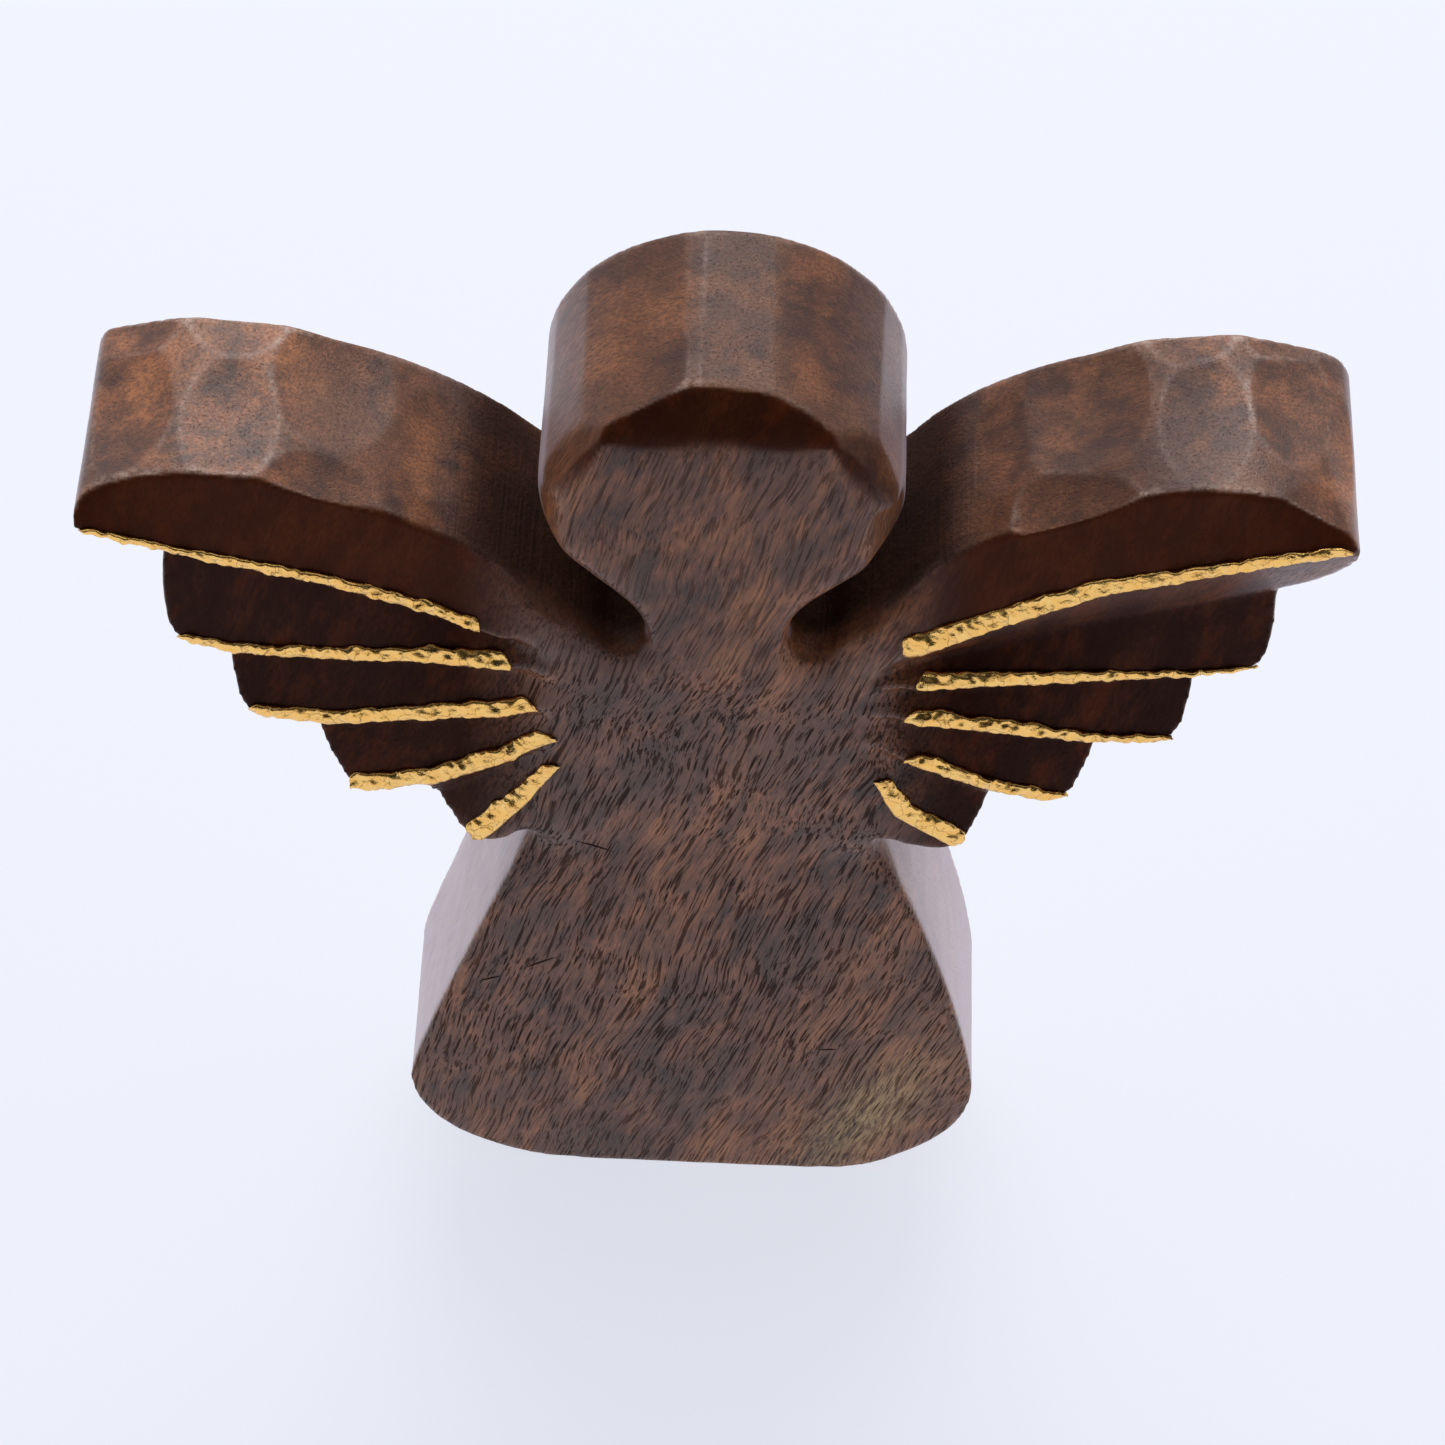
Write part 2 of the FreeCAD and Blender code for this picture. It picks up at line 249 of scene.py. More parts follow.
def carve_figure():
    """The wood: the CAD solid with rounded edges, blended roots and the marks of the knife."""
    figure = link("angel_wood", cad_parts["carved_figure"].data.copy())
    figure.data.materials.clear()
    remesh = figure.modifiers.new("voxels", "REMESH")
    remesh.mode = "VOXEL"
    remesh.voxel_size = VOXEL
    mesh = applied(figure)
    edges = read_edges(mesh)
    points = soften(read_points(mesh), edges, read_normals(mesh))
    write_points(mesh, points)

    graph = bpy.context.evaluated_depsgraph_get()
    cut_facets(points, BVHTree.FromObject(figure, graph))
    flatten_head(points)
    points = smoothed(points, edges, 0.5, 1)
    write_points(mesh, points)
    waves = sum(height * noise_at(points, size * MM, seed) for height, size, seed in WAVES)
    points = points + read_normals(mesh) * (waves * MM)[:, None]
    points[:, 2] = np.maximum(points[:, 2], CAD_LOW.z)
    write_points(mesh, points)

    triangles = len(mesh.loops) - 2 * len(mesh.polygons)
    if triangles > WOOD_FACES:
        thin = figure.modifiers.new("fewer_faces", "DECIMATE")
        thin.ratio = WOOD_FACES / triangles
        mesh = applied(figure)
    mesh.shade_smooth()
    mark_surface(mesh)
    return figure


def store(mesh, name, values):
    layer = mesh.attributes.new(name, "FLOAT", "POINT")
    layer.data.foreach_set("value", values.astype(np.float32))


def mark_surface(mesh):
    """Masks from 0 to 1 that tell the material how each part of the wood was worked and worn, and
    where it paints highlights, shade and a reflection.
    """
    points = read_points(mesh)
    normals = read_normals(mesh)
    x, y, z = points.T / MM
    aside = np.abs(x)
    facing = -normals[:, 1]                             # to the front
    facing_either = np.abs(normals[:, 1])               # to the front or the back
    head = (aside < HEAD_SIDE) * ramp(z, 116, 122)
    forward = ramp(facing, 0.35, 0.75)

    # Edges that hands have rubbed, lightened also as painted highlights: most on the wing tips and
    # on the crown's ridge.
    relaxed = smoothed(points, read_edges(mesh), 0.5, 3)
    bulge = ((points - relaxed) * normals).sum(1) / MM
    crown_ridge = band(x + 2.7, -0.5, 0.5, 1.5)
    rubbed_and_lit = 0.30 + 0.70 * np.maximum(band(aside, 43, 60, 5), crown_ridge)
    store(mesh, "ridge", np.clip((bulge - 0.006) / 0.030, 0, 1) * rubbed_and_lit)

    sawn = zone("notches", x, z) * ramp(y, -11, -7) * (1 - ramp(facing_either, 0.5, 0.8))
    store(mesh, "sawn", sawn)
    sapwood = np.exp(-((x - 20 - 0.35 * (z - 12)) / 5) ** 2 - ((z - 14) / 13) ** 2)
    store(mesh, "pale", sapwood * (y < 0))
    store(mesh, "front", ramp(facing_either, 0.4, 0.8))

    under = ramp(-normals[:, 2], 0.1, 0.45) * ramp(x, 20, 30)
    tip = under * ramp(x, 50, 57) * ramp(z, 100, 104)
    # Where a pale reflection is painted: walls seen edge on, less of it above the gown except on
    # the head, and the undersides of the right wing's tips.
    wall = 1 - ramp(facing_either, 0.2, 0.45)
    wall *= 1 - 0.55 * ramp(z, 76, 90) * (1 - 0.6 * head)
    store(mesh, "wall", np.maximum(wall, tip))

    # Where shade is painted: the feathers' slopes and the brow's chamfer that face the front,
    # lighter on the top feather.
    feathers = ramp(aside, 17, 27) * ramp(z, 74, 80) * (1 - np.maximum(tip, 0.35 * under))
    brow = ramp(z, 136, 146) * ramp(from_head_middle(x, z), 12.0, 14.5) * (aside < HEAD_SIDE)
    slanted = ramp(facing, 0.35, 0.6) * (1 - ramp(facing, 0.955, 0.995))
    store(mesh, "shaded_slopes", np.clip(feathers * forward + 1.1 * brow * slanted, 0, 1))
    top_feather = ramp(z - 117 - 0.3 * (aside - 25), -1, 2)
    store(mesh, "less_shaded_top", top_feather * (1 - 0.6 * head))

    # Closed pores on the head and at the foot; darker tops by the notches and on the crown.
    store(mesh, "hazy", np.maximum(ramp(z, 104, 114), 0.6 * (1 - ramp(z, 14, 30))))
    crown = ramp(z, 134, 140) * (aside < HEAD_SIDE)
    roots = np.maximum(band(x, 20, 46, 8), 0.8 * band(-x, 20, 38, 8)) * ramp(z, 112, 117)
    store(mesh, "dim", np.clip(crown + roots, 0, 1) * (1 - forward))


# ---------------------------------------------------------------- the gold leaf
# Each strip: how far it reaches over the crest, its width at the inner end and at the feather's
# tip, and how far it runs on past the CAD strip at the tip (mm).
LEAVES = {
    "gold_leaf_left_1": (0.85, 2.4, 1.6, 0.6), "gold_leaf_left_2": (0.85, 3.0, 2.0, 0.9),
    "gold_leaf_left_3": (0.85, 3.0, 2.4, 0.9), "gold_leaf_left_4": (0.90, 2.8, 3.1, 0.7),
    "gold_leaf_left_5": (0.70, 2.2, 2.9, 0.5),
    "gold_leaf_right_1": (0.60, 3.2, 1.4, 1.0), "gold_leaf_right_2": (0.80, 3.0, 1.2, 0.9),
    "gold_leaf_right_3": (0.80, 2.9, 1.6, 0.8), "gold_leaf_right_4": (0.90, 2.4, 2.4, 0.7),
    "gold_leaf_right_5": (0.70, 2.3, 2.8, 0.3),
}
LEAF_COLUMN = 0.22 * MM
LEAF_ROWS = 12
LEAF_THICKNESS = 0.03 * MM
CUTS = 90                       # a CAD strip is cut across at this many places
LAST_CUTS = 7                   # its end is lengthened the way that its last cuts run
CUT_STEP = 0.4 * MM


def leaf_line(node):
    """Lower and upper edge of a CAD strip, from its inner end to its tip."""
    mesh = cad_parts[node].data
    points = read_points(mesh)
    ends = points[read_edges(mesh)]
    inner, tip = sorted((points[:, 0].min(), points[:, 0].max()), key=abs)
    xs = np.linspace(inner, tip, CUTS)[1:-1]
    low, high = [], []
    for x in xs:
        offset = ends[:, :, 0] - x
        cut = ends[offset[:, 0] * offset[:, 1] < 0]
        share = (x - cut[:, 0, 0]) / (cut[:, 1, 0] - cut[:, 0, 0])
        crossing = cut[:, 0] + share[:, None] * (cut[:, 1] - cut[:, 0])
        low.append(crossing[crossing[:, 2].argmin()])
        high.append(crossing[crossing[:, 2].argmax()])
    return np.array(low), np.array(high)


def resampled(line, step, beyond):
    """Points at an even step along a polyline that is first lengthened at its end."""
    step_on = (line[-1] - line[-1 - LAST_CUTS]) / LAST_CUTS
    line = np.vstack((line, line[-1] + step_on * (beyond / CUT_STEP)))
    lengths = np.concatenate(([0], np.linalg.norm(np.diff(line, axis=0), axis=1).cumsum()))
    walk = np.arange(0, lengths[-1], step)
    return np.stack([np.interp(walk, lengths, line[:, k]) for k in range(3)], 1), walk


def leaf_columns(low, high, sizes, wood_tree, seed):
    """Grid of places on the wood from the inner end to the tip, and the wood's normals there."""
    over, inner_width, tip_width, beyond = sizes
    line, walk = resampled(low, LEAF_COLUMN, beyond * MM)
    rise = (high - low).mean(0)
    columns = len(line)
    grid = np.empty((columns, LEAF_ROWS + 1, 3))
    outward = np.empty_like(grid)
    for i, bottom in enumerate(line):
        ahead = line[min(i + 3, columns - 1)] - line[max(i - 3, 0)]
        ahead /= np.linalg.norm(ahead)
        up = rise - ahead * (rise @ ahead)
        up /= np.linalg.norm(up)
        here = walk[i] / MM
        left = (walk[-1] - walk[i]) / MM
        ragged = noise.noise(Vector((here / 1.9, seed * 3.7, 0)))
        nick = noise.noise(Vector((here / 0.6, seed * 9.1, 4)))
        width = inner_width + (tip_width - inner_width) * walk[i] / walk[-1]
        width *= (1 + 0.16 * ragged) * min(1.0, 0.45 + here / 1.6, 0.40 + left / 1.2)
        start = -over + 0.10 * noise.noise(Vector((here / 2.3, seed * 5.3, 8)))
        for j in range(LEAF_ROWS + 1):
            across = start + (width + 0.10 * nick) * j / LEAF_ROWS
            spot, normal, _, _ = wood_tree.find_nearest(Vector(bottom + up * across * MM))
            grid[i, j] = spot
            outward[i, j] = normal
    for _ in range(3):
        grid[1:-1] = (grid[:-2] + 2 * grid[1:-1] + grid[2:]) / 4
        outward[1:-1] = (outward[:-2] + 2 * outward[1:-1] + outward[2:]) / 4
        outward[:, 1:-1] = (outward[:, :-2] + 2 * outward[:, 1:-1] + outward[:, 2:]) / 4
    outward /= np.linalg.norm(outward, axis=2)[:, :, None]
    return grid, outward


def creases(grid, seed):
    """How far each place of the leaf stands off the wood: folds and creases, edges pressed down."""
    lift = np.empty(grid.shape[:2])
    for i, column in enumerate(grid):
        for j, place in enumerate(column):
            cell = Vector(place) / MM
            fold = abs(noise.noise(cell / 2.4 + Vector((seed, 0, 0))))
            crease = abs(noise.noise(cell / 1.1 + Vector((0, seed, 0))))
            upper = 0.6 + 1.3 * j / LEAF_ROWS
            lift[i, j] = 0.12 + upper * (0.30 * fold + 0.36 * crease)
    lift[:, 0] = lift[:, -1] = 0.08
    return lift * MM


def lay_leaf(node, wood_tree, seed):
    """A creased strip of leaf pressed onto the wood along its feather's edge."""
    low, high = leaf_line(node)
    grid, outward = leaf_columns(low, high, LEAVES[node], wood_tree, seed)
    verts = grid + outward * creases(grid, seed)[:, :, None]
    faces = []
    for i in range(len(grid) - 1):
        for j in range(LEAF_ROWS):
            a = i * (LEAF_ROWS + 1) + j
            faces.append((a, a + 1, a + LEAF_ROWS + 2, a + LEAF_ROWS + 1))
    mesh = bpy.data.meshes.new(node)
    mesh.from_pydata(verts.reshape(-1, 3).tolist(), [], faces)
    leaf = link(node.replace("gold_leaf", "leaf"), mesh)
    skin = leaf.modifiers.new("thickness", "SOLIDIFY")
    skin.thickness = LEAF_THICKNESS
    skin.offset = 0
    applied(leaf)
    leaf.data.shade_smooth()
    return leaf


# ---------------------------------------------------------------- materials
class Nodes:
    """A small helper that writes a material's node tree."""

    def __init__(self, name):
        self.material = bpy.data.materials.new(name)
        self.material.use_nodes = True
        self.tree = self.material.node_tree
        self.shader = self.tree.nodes["Principled BSDF"]

    def add(self, kind, settings=None, **inputs):
        node = self.tree.nodes.new(kind)
        for key, value in (settings or {}).items():
            setattr(node, key, value)
        for key, value in inputs.items():
            self.feed(node, key.replace("_", " "), value)
        return node

    def feed(self, node, socket, value):
        target = node.inputs[socket]
        if isinstance(value, bpy.types.NodeSocket):
            self.tree.links.new(value, target)
        else:
            target.default_value = value

    def math(self, operation, a, b):
        node = self.add("ShaderNodeMath", {"operation": operation})
        self.feed(node, 0, a)
        self.feed(node, 1, b)
        return node.outputs[0]

    def vector(self, operation, a, b):
        node = self.add("ShaderNodeVectorMath", {"operation": operation})
        self.feed(node, 0, a)
        self.feed(node, 1, b)
        return node.outputs[0]

    def noise(self, coordinates, scale, detail=3.0, roughness=0.5):
        node = self.add("ShaderNodeTexNoise", Vector=coordinates, Scale=scale, Detail=detail,
                        Roughness=roughness)
        return node.outputs["Fac"]

    def spread(self, value, low, high, to_low=0.0, to_high=1.0):
        """Stretches low..high to to_low..to_high, and holds the ends."""
        node = self.add("ShaderNodeMapRange")
        self.feed(node, "Value", value)
        self.feed(node, "From Min", low)
        self.feed(node, "From Max", high)
        self.feed(node, "To Min", to_low)
        self.feed(node, "To Max", to_high)
        return node.outputs[0]

    def mix(self, share, a, b):
        node = self.add("ShaderNodeMix", {"data_type": "RGBA"})
        self.feed(node, 0, share)
        self.feed(node, 6, a)
        self.feed(node, 7, b)
        return node.outputs[2]


# Wood tones, from the sound wood to what lies over it.
DARK_WOOD = (0.080, 0.027, 0.015, 1)
WARM_WOOD = (0.390, 0.140, 0.058, 1)
WARM_BAND = (0.58, 0.215, 0.080, 1)
DARK_PATCH = (0.085, 0.034, 0.024, 1)
DARK_FIBRE = (0.060, 0.022, 0.013, 1)
DIM_TOP = (0.066, 0.028, 0.020, 1)
SAPWOOD = (0.55, 0.36, 0.15, 1)
# Rubbed edges, lightened also as a painted highlight.
WORN_AND_LIT_EDGE = (0.50, 0.34, 0.28, 1)
# Darker on the walls deep inside the notches.
DARK_NOTCH_WALL = (0.026, 0.011, 0.008, 1)
# Painted shade on the slopes that face the front: darker ones, lighter ones on the top feather, and
# reddish ones.
PAINTED_SLOPE_SHADE = (0.036, 0.009, 0.005, 1)
PAINTED_TOP_SLOPE_SHADE = (0.085, 0.019, 0.007, 1)
PAINTED_RED_SLOPE_SHADE = (0.150, 0.026, 0.006, 1)
PORE = (0.012, 0.006, 0.005, 1)
# A painted reflection of a pale room, on walls seen edge on.
PAINTED_WALL_REFLECTION = (0.68, 0.56, 0.61, 1)

# Patterns of the grain: how fine across, in depth and along the fibres (per mm), detail, roughness.
GRAIN = {
    "fibres": ((2.8, 2.8, 0.20), 5.0, 0.65),
    "streaks": ((3.0, 3.0, 0.13), 3.0, 0.55),
    "mottle": ((0.30, 0.30, 0.11), 5.0, 0.66),
    "rings": ((0.12, 0.08, 0.012), 3.0, 0.55),
    "patches": ((0.09, 0.09, 0.05), 3.0, 0.6),
}
GRAIN_LEAN = math.radians(-15)
GRAIN_WANDER = (5, 5, 5)        # mm
COARSE_PORES = (0.50, 8.0, 0.30)        # spacing across and along (mm), share that is open
FINE_PORES = (0.32, 4.4, 0.28)
# Short cracks in the front: x and z of the middle, tilt in degrees, half length (mm).
CRACKS = ((-24.9, 43.0, 28.0, 1.6), (-19.0, 47.0, 35.0, 2.6), (15.3, 29.8, 8.0, 1.3),
          (-12.4, 72.4, -28.0, 2.6))


def millimetres(nodes):
    """Object coordinates in millimetres."""
    place = nodes.add("ShaderNodeTexCoord").outputs["Object"]
    return nodes.vector("MULTIPLY", place, (1000, 1000, 1000))


def grain_space(nodes, place):
    """Coordinates whose Z runs along the fibres, which lean and wander a little."""
    drift = nodes.add("ShaderNodeTexNoise", Vector=place, Scale=0.035, Detail=2.0)
    wander = nodes.vector("MULTIPLY", drift.outputs["Color"], GRAIN_WANDER)
    bent = nodes.vector("ADD", place, wander)
    turned = nodes.add("ShaderNodeVectorRotate", {"rotation_type": "AXIS_ANGLE"}, Vector=bent,
                       Axis=(0, 1, 0), Angle=GRAIN_LEAN)
    return turned.outputs[0]


def grain_noise(nodes, fibre, name):
    fineness, detail, roughness = GRAIN[name]
    return nodes.noise(nodes.vector("MULTIPLY", fibre, fineness), 1.0, detail, roughness)


def open_pores(nodes, fibre, across, lengthwise, radius):
    """Long thin pores: streaks along the fibres, dots on end grain."""
    stretched = nodes.vector("MULTIPLY", fibre, (1 / across, 1 / across, 1 / lengthwise))
    cells = nodes.add("ShaderNodeTexVoronoi", Vector=stretched, Scale=1.0)
    chance = nodes.add("ShaderNodeSeparateColor", Color=cells.outputs["Color"]).outputs[0]
    size = nodes.spread(chance, 0.0, 1.0, 0.5 * radius, radius)
    return nodes.spread(nodes.math("DIVIDE", cells.outputs["Distance"], size), 0.6, 1.15, 1.0, 0.0)


def short_crack(nodes, place, x, z, tilt, half_length):
    """1 inside a thin sliver on the front, 0 outside."""
    moved = nodes.vector("SUBTRACT", place, (x, -10.0, z))
    lying = nodes.add("ShaderNodeVectorRotate", {"rotation_type": "AXIS_ANGLE"}, Vector=moved,
                      Axis=(0, 1, 0), Angle=math.radians(tilt)).outputs[0]
    scaled = nodes.vector("MULTIPLY", lying, (1 / half_length, 0.3, 5.0))
    length = nodes.add("ShaderNodeVectorMath", {"operation": "LENGTH"})
    nodes.feed(length, 0, scaled)
    return nodes.spread(length.outputs["Value"], 0.6, 1.1, 1.0, 0.0)


def attribute(nodes, name):
    return nodes.add("ShaderNodeAttribute", {"attribute_name": name}).outputs["Fac"]


def wood_pores(nodes, place, fibre, front, shaded_slopes):
    """1 in the open pores, the dark streaks and the cracks, 0 on closed wood."""
    fine = nodes.math("MULTIPLY", open_pores(nodes, fibre, *FINE_PORES), 0.6)
    pores = nodes.math("MAXIMUM", open_pores(nodes, fibre, *COARSE_PORES), fine)
    pores = nodes.math("MULTIPLY", pores, nodes.spread(front, 0.0, 1.0, 0.35, 0.95))
    streaks = nodes.spread(grain_noise(nodes, fibre, "streaks"), 0.54, 0.60)
    streaks = nodes.math("MULTIPLY", streaks, nodes.math("MULTIPLY", front, 0.75))
    pores = nodes.math("MAXIMUM", pores, streaks)
    pores = nodes.math("MULTIPLY", pores, nodes.spread(shaded_slopes, 0.0, 1.0, 1.0, 0.3))
    hazy = attribute(nodes, "hazy")
    pores = nodes.math("MULTIPLY", pores, nodes.spread(hazy, 0.0, 1.0, 1.0, 0.6))
    for crack in CRACKS:
        pores = nodes.math("MAXIMUM", pores, short_crack(nodes, place, *crack))
    return pores


def sound_wood(nodes, fibre, fibres, mottle, dim):
    """The wood's own colour: mottled, with warm bands, dark patches and a slice of sapwood."""
    rings = grain_noise(nodes, fibre, "rings")
    patches = grain_noise(nodes, fibre, "patches")
    tone = nodes.mix(nodes.spread(mottle, 0.38, 0.60), DARK_WOOD, WARM_WOOD)
    tone = nodes.mix(nodes.spread(rings, 0.48, 0.64, 0.0, 0.7), tone, WARM_BAND)
    tone = nodes.mix(nodes.spread(patches, 0.56, 0.40, 0.0, 0.6), tone, DARK_PATCH)
    tone = nodes.mix(nodes.spread(fibres, 0.38, 0.62, 0.0, 0.65), tone, DARK_FIBRE)
    tone = nodes.mix(nodes.math("MULTIPLY", dim, 0.46), tone, DIM_TOP)
    pale = nodes.math("MULTIPLY", attribute(nodes, "pale"), nodes.spread(fibres, 0.62, 0.42))
    return nodes.mix(pale, tone, SAPWOOD)


def worked_wood(nodes, tone, place, mottle, front, shaded_slopes, sawn):
    """The colour after carving and handling: worn ridges that are also painted highlights, notches
    darker deep inside, and painted shade on the slopes that face the front.
    """
    specks = nodes.spread(nodes.noise(place, 1.6, 3.0, 0.7), 0.35, 0.60, 0.1, 0.75)
    worn_and_lit = nodes.math("MULTIPLY", attribute(nodes, "ridge"), specks)
    gaps = nodes.spread(nodes.noise(place, 0.22), 0.40, 0.56, 0.4, 1.3)
    worn_and_lit = nodes.math("MULTIPLY", worn_and_lit, gaps)
    worn_and_lit = nodes.math("MULTIPLY", worn_and_lit, nodes.math("SUBTRACT", 1.0, front))
    tone = nodes.mix(worn_and_lit, tone, WORN_AND_LIT_EDGE)
    tone = nodes.mix(nodes.math("MULTIPLY", sawn, 0.8), tone, DARK_NOTCH_WALL)
    # Painted shade on the feathers' slopes and the brow's chamfer that face the front.
    painted_slope_shade = nodes.mix(attribute(nodes, "less_shaded_top"), PAINTED_SLOPE_SHADE, PAINTED_TOP_SLOPE_SHADE)
    painted_slope_shade = nodes.mix(nodes.spread(mottle, 0.50, 0.66, 0.0, 0.5), painted_slope_shade, PAINTED_RED_SLOPE_SHADE)
    return nodes.mix(nodes.math("MULTIPLY", shaded_slopes, 0.9), tone, painted_slope_shade)


def wood_material():
    """Dark hardwood with leaning grain, open pores, a satin gloss and worn ridges, with painted
    highlights on the ridges, painted shade on the slopes that face the front and a pale painted
    reflection on the walls.
    """
    nodes = Nodes("dark_hardwood")
    place = millimetres(nodes)
    fibre = grain_space(nodes, place)
    front, shaded_slopes, sawn, dim = (attribute(nodes, name) for name in ("front", "shaded_slopes", "sawn", "dim"))
    fibres = grain_noise(nodes, fibre, "fibres")
    mottle = grain_noise(nodes, fibre, "mottle")
    pores = wood_pores(nodes, place, fibre, front, shaded_slopes)

    tone = sound_wood(nodes, fibre, fibres, mottle, dim)
    tone = worked_wood(nodes, tone, place, mottle, front, shaded_slopes, sawn)
    tone = nodes.mix(nodes.math("MULTIPLY", pores, 0.9), tone, PORE)
    # Painted reflection: a pale tone mixed into the colour where a wall is seen nearly edge on.
    facing = nodes.add("ShaderNodeLayerWeight", Blend=0.5).outputs["Facing"]
    painted_reflection_walls = nodes.math("MULTIPLY", attribute(nodes, "wall"), nodes.math("SUBTRACT", 1.0, sawn))
    painted_sheen = nodes.math("MULTIPLY", nodes.spread(facing, 0.60, 0.86, 0.0, 0.85), painted_reflection_walls)
    nodes.feed(nodes.shader, "Base Color", nodes.mix(painted_sheen, tone, PAINTED_WALL_REFLECTION))

    rough = nodes.spread(fibres, 0.3, 0.7, 0.28, 0.44)
    rough = nodes.math("ADD", rough, nodes.math("MULTIPLY", pores, 0.40))
    rough = nodes.math("ADD", rough, nodes.math("MULTIPLY", sawn, 0.40))
    nodes.feed(nodes.shader, "Roughness", nodes.math("MINIMUM", rough, 0.9))
    dull = nodes.math("MAXIMUM", nodes.math("MAXIMUM", pores, shaded_slopes),
                      nodes.math("MAXIMUM", sawn, nodes.math("MULTIPLY", dim, 0.45)))
    nodes.feed(nodes.shader, "Specular IOR Level", nodes.spread(dull, 0.0, 1.0, 0.34, 0.05))

    saw_lines = nodes.noise(nodes.vector("MULTIPLY", place, (2.2, 0.08, 2.2)), 1.0, 2.0, 0.5)
    fuzz = nodes.math("ADD", nodes.noise(place, 2.2, 4.0, 0.7), saw_lines)
    height = nodes.math("ADD", nodes.math("MULTIPLY", fibres, 0.05),
                        nodes.math("MULTIPLY", pores, -0.10))
    height = nodes.math("ADD", height,
                        nodes.math("MULTIPLY", nodes.math("MULTIPLY", sawn, fuzz), 0.35))
    bump = nodes.add("ShaderNodeBump", Height=height, Strength=0.9, Distance=MM)
    nodes.feed(nodes.shader, "Normal", bump.outputs[0])
    return nodes.material


# Gold leaf, from its deeper to its paler tone, and the size glue that shows in its cracks.
DEEP_GOLD, PALE_GOLD = (1.0, 0.50, 0.09, 1), (1.0, 0.70, 0.26, 1)
SIZE_GLUE = (0.16, 0.06, 0.015, 1)


def leaf_material():
    """Bright creased gold, dark brown along the cracks."""
    nodes = Nodes("gold_leaf")
    place = millimetres(nodes)
    drift = nodes.add("ShaderNodeTexNoise", Vector=place, Scale=0.9, Detail=3.0)
    bent = nodes.vector("ADD", place,
                        nodes.vector("MULTIPLY", drift.outputs["Color"], (1.4, 1.4, 1.4)))
    cells = nodes.add("ShaderNodeTexVoronoi", {"feature": "DISTANCE_TO_EDGE"}, Vector=bent,
                      Scale=0.42)
    cracks = nodes.spread(cells.outputs["Distance"], 0.008, 0.024, 0.6, 0.0)
    folds = nodes.noise(place, 1.3, 4.0, 0.6)
    gold = nodes.mix(nodes.noise(place, 0.6), DEEP_GOLD, PALE_GOLD)
    nodes.feed(nodes.shader, "Base Color", nodes.mix(cracks, gold, SIZE_GLUE))
    nodes.shader.inputs["Metallic"].default_value = 1.0
    nodes.feed(nodes.shader, "Roughness", nodes.spread(folds, 0.3, 0.7, 0.34, 0.18))
    bump = nodes.add("ShaderNodeBump", Height=folds, Strength=0.5, Distance=0.3 * MM)
    nodes.feed(nodes.shader, "Normal", bump.outputs[0])
    return nodes.material


def floor_material():
    """A translucent white table, lit a little from below."""
    nodes = Nodes("white_table")
    shader = nodes.shader
    shader.inputs["Base Color"].default_value = (0.21, 0.213, 0.222, 1)
    shader.inputs["Roughness"].default_value = 0.7
    shader.inputs["Specular IOR Level"].default_value = 0.1
    shader.inputs["Emission Color"].default_value = (0.872, 0.897, 1.0, 1)
    shader.inputs["Emission Strength"].default_value = 0.78
    return nodes.material


# ---------------------------------------------------------------- stage
FLOOR_REACH = 3.0
CAMERA_PLACE = Vector((0.00366, -0.26753, 0.46551))
CAMERA_FORWARD = Vector((-0.00501, 0.57355, -0.81915))      # 55 degrees down
CAMERA_ROLL = math.radians(1.9)
CAMERA_LENS, CAMERA_SENSOR = 104.7, 36
SKY_WAY = (0.0, 0.94, 0.34)     # the room is brightest this way, behind the figurine
SKY_COLOUR = (0.97, 0.98, 1.0, 1)
SKY_RANGE = (-0.15, 0.75)       # from facing away from the bright side to facing it
SKY_STRENGTH = (0.03, 1.05)


def lay_floor():
    mesh = bpy.data.meshes.new("table_top")
    corners = [(-FLOOR_REACH, -FLOOR_REACH, 0), (FLOOR_REACH, -FLOOR_REACH, 0),
               (FLOOR_REACH, FLOOR_REACH, 0), (-FLOOR_REACH, FLOOR_REACH, 0)]
    mesh.from_pydata(corners, [], [(0, 1, 2, 3)])
    floor = link("table_top", mesh)
    mesh.materials.append(floor_material())


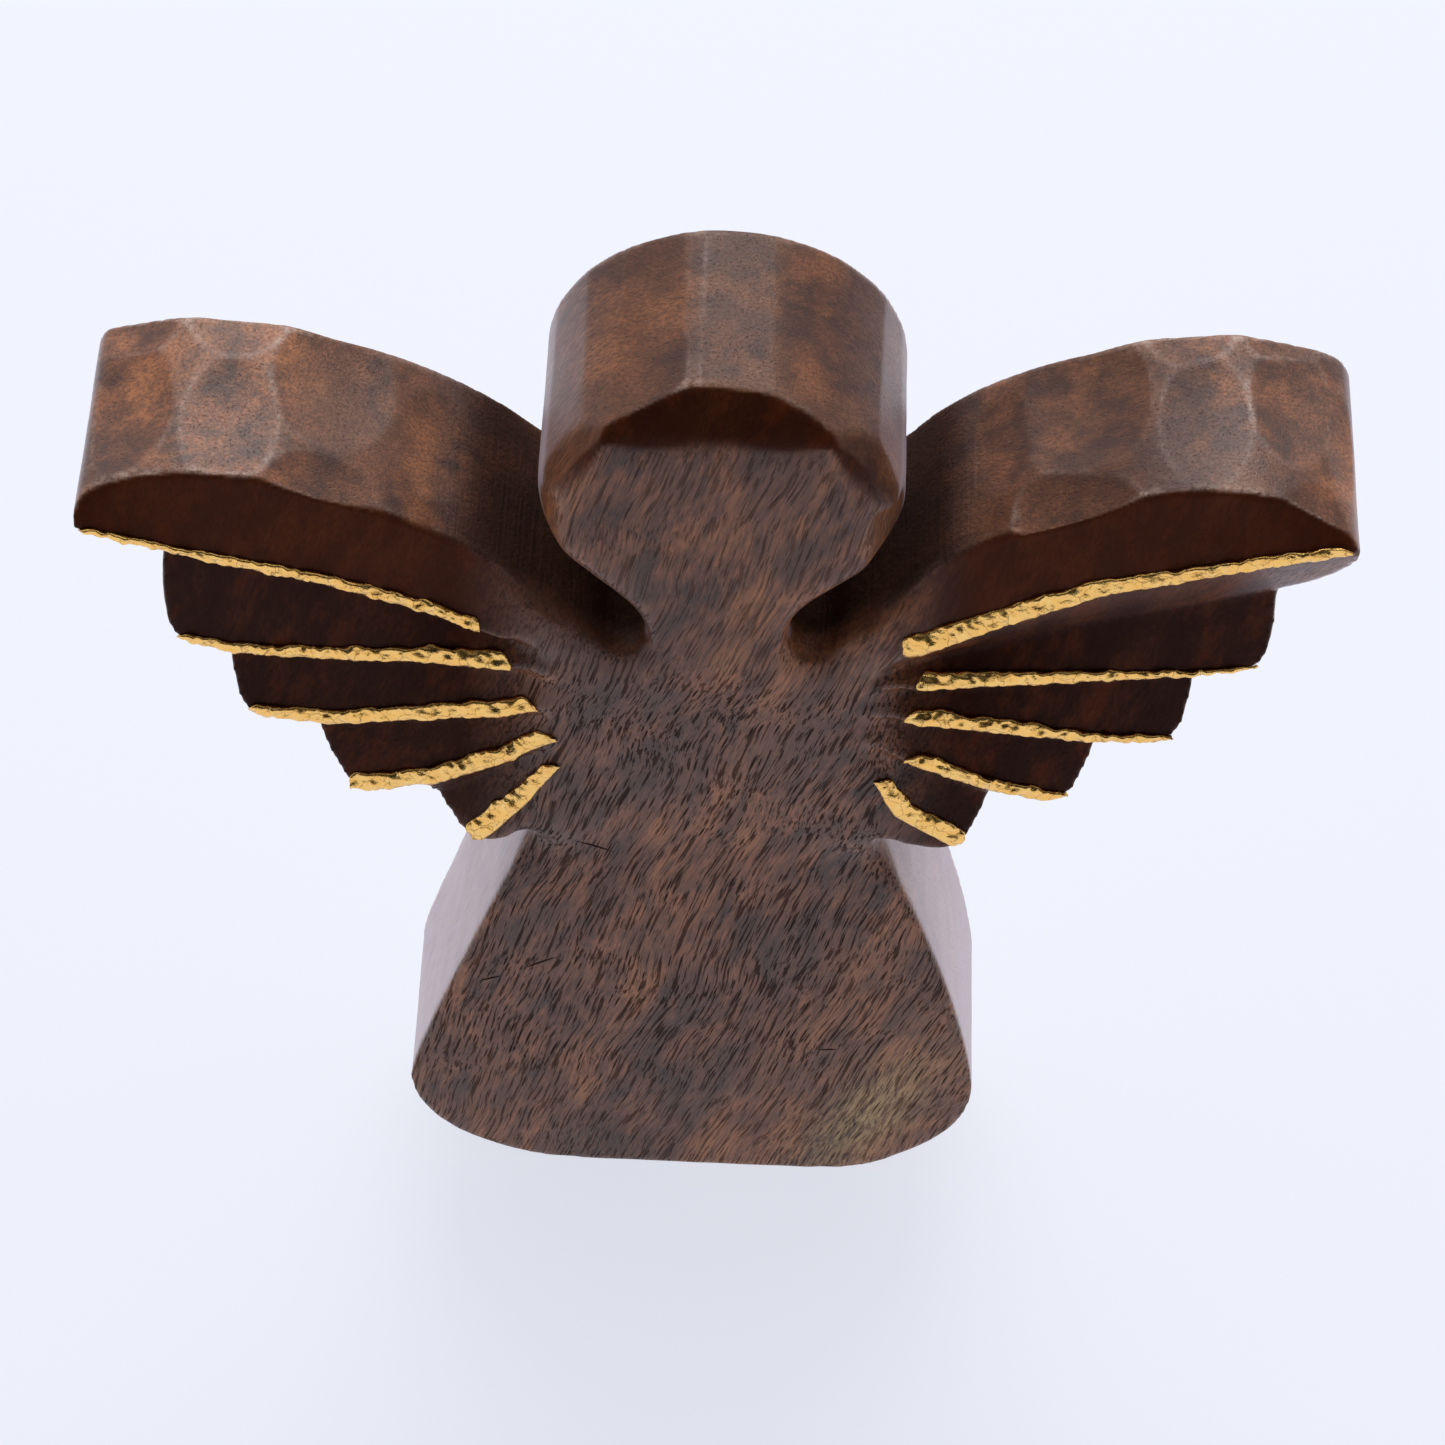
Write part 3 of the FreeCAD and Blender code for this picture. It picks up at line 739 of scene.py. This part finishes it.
def set_camera():
    """Looks down on the carved front, with a long lens."""
    level = Vector((CAMERA_FORWARD.y, -CAMERA_FORWARD.x, 0)).normalized()
    up = level.cross(CAMERA_FORWARD)
    right = level * math.cos(CAMERA_ROLL) + up * math.sin(CAMERA_ROLL)
    top = up * math.cos(CAMERA_ROLL) - level * math.sin(CAMERA_ROLL)
    data = bpy.data.cameras.new("camera")
    data.sensor_width = CAMERA_SENSOR
    data.lens = CAMERA_LENS
    data.clip_start = 0.01
    camera = bpy.data.objects.new("camera", data)
    SCENE.collection.objects.link(camera)
    turn = Matrix((right, top, -CAMERA_FORWARD)).transposed().to_4x4()
    camera.matrix_world = Matrix.Translation(CAMERA_PLACE) @ turn
    SCENE.camera = camera


def hang_softbox():
    """A wide softbox behind and above the figurine."""
    data = bpy.data.lights.new("back_softbox", "AREA")
    data.shape = "RECTANGLE"
    data.size = 0.9
    data.size_y = 0.7
    data.energy = 9.0
    lamp = bpy.data.objects.new("back_softbox", data)
    SCENE.collection.objects.link(lamp)
    lamp.location = (0.0, 0.85, 1.0)
    aim = Vector((0, 0, 0.05))
    lamp.rotation_euler = (aim - lamp.location).to_track_quat("-Z", "Y").to_euler()


def light_room():
    """A room that is pale at the back and on the sides, and dark in front."""
    world = bpy.data.worlds.new("studio")
    SCENE.world = world
    world.use_nodes = True
    tree = world.node_tree
    sky = tree.nodes["Background"]
    way = tree.nodes.new("ShaderNodeTexCoord")
    lean = tree.nodes.new("ShaderNodeVectorMath")
    lean.operation = "DOT_PRODUCT"
    lean.inputs[1].default_value = SKY_WAY
    tree.links.new(way.outputs["Generated"], lean.inputs[0])
    fade = tree.nodes.new("ShaderNodeMapRange")
    fade.inputs["From Min"].default_value, fade.inputs["From Max"].default_value = SKY_RANGE
    fade.inputs["To Min"].default_value, fade.inputs["To Max"].default_value = SKY_STRENGTH
    tree.links.new(lean.outputs["Value"], fade.inputs["Value"])
    tree.links.new(fade.outputs[0], sky.inputs["Strength"])
    sky.inputs["Color"].default_value = SKY_COLOUR


def main():
    wood = carve_figure()
    wood.data.materials.append(wood_material())
    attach(wood, "root")
    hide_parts("carved_figure")

    graph = bpy.context.evaluated_depsgraph_get()
    tree = BVHTree.FromObject(wood, graph)
    gold = leaf_material()
    for seed, node in enumerate(sorted(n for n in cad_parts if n.startswith("gold_leaf"))):
        leaf = lay_leaf(node, tree, seed + 1)
        leaf.data.materials.append(gold)
        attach(leaf, "root")
        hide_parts(node)

    lay_floor()
    light_room()
    hang_softbox()
    set_camera()
    SCENE.view_settings.view_transform = "Standard"


main()
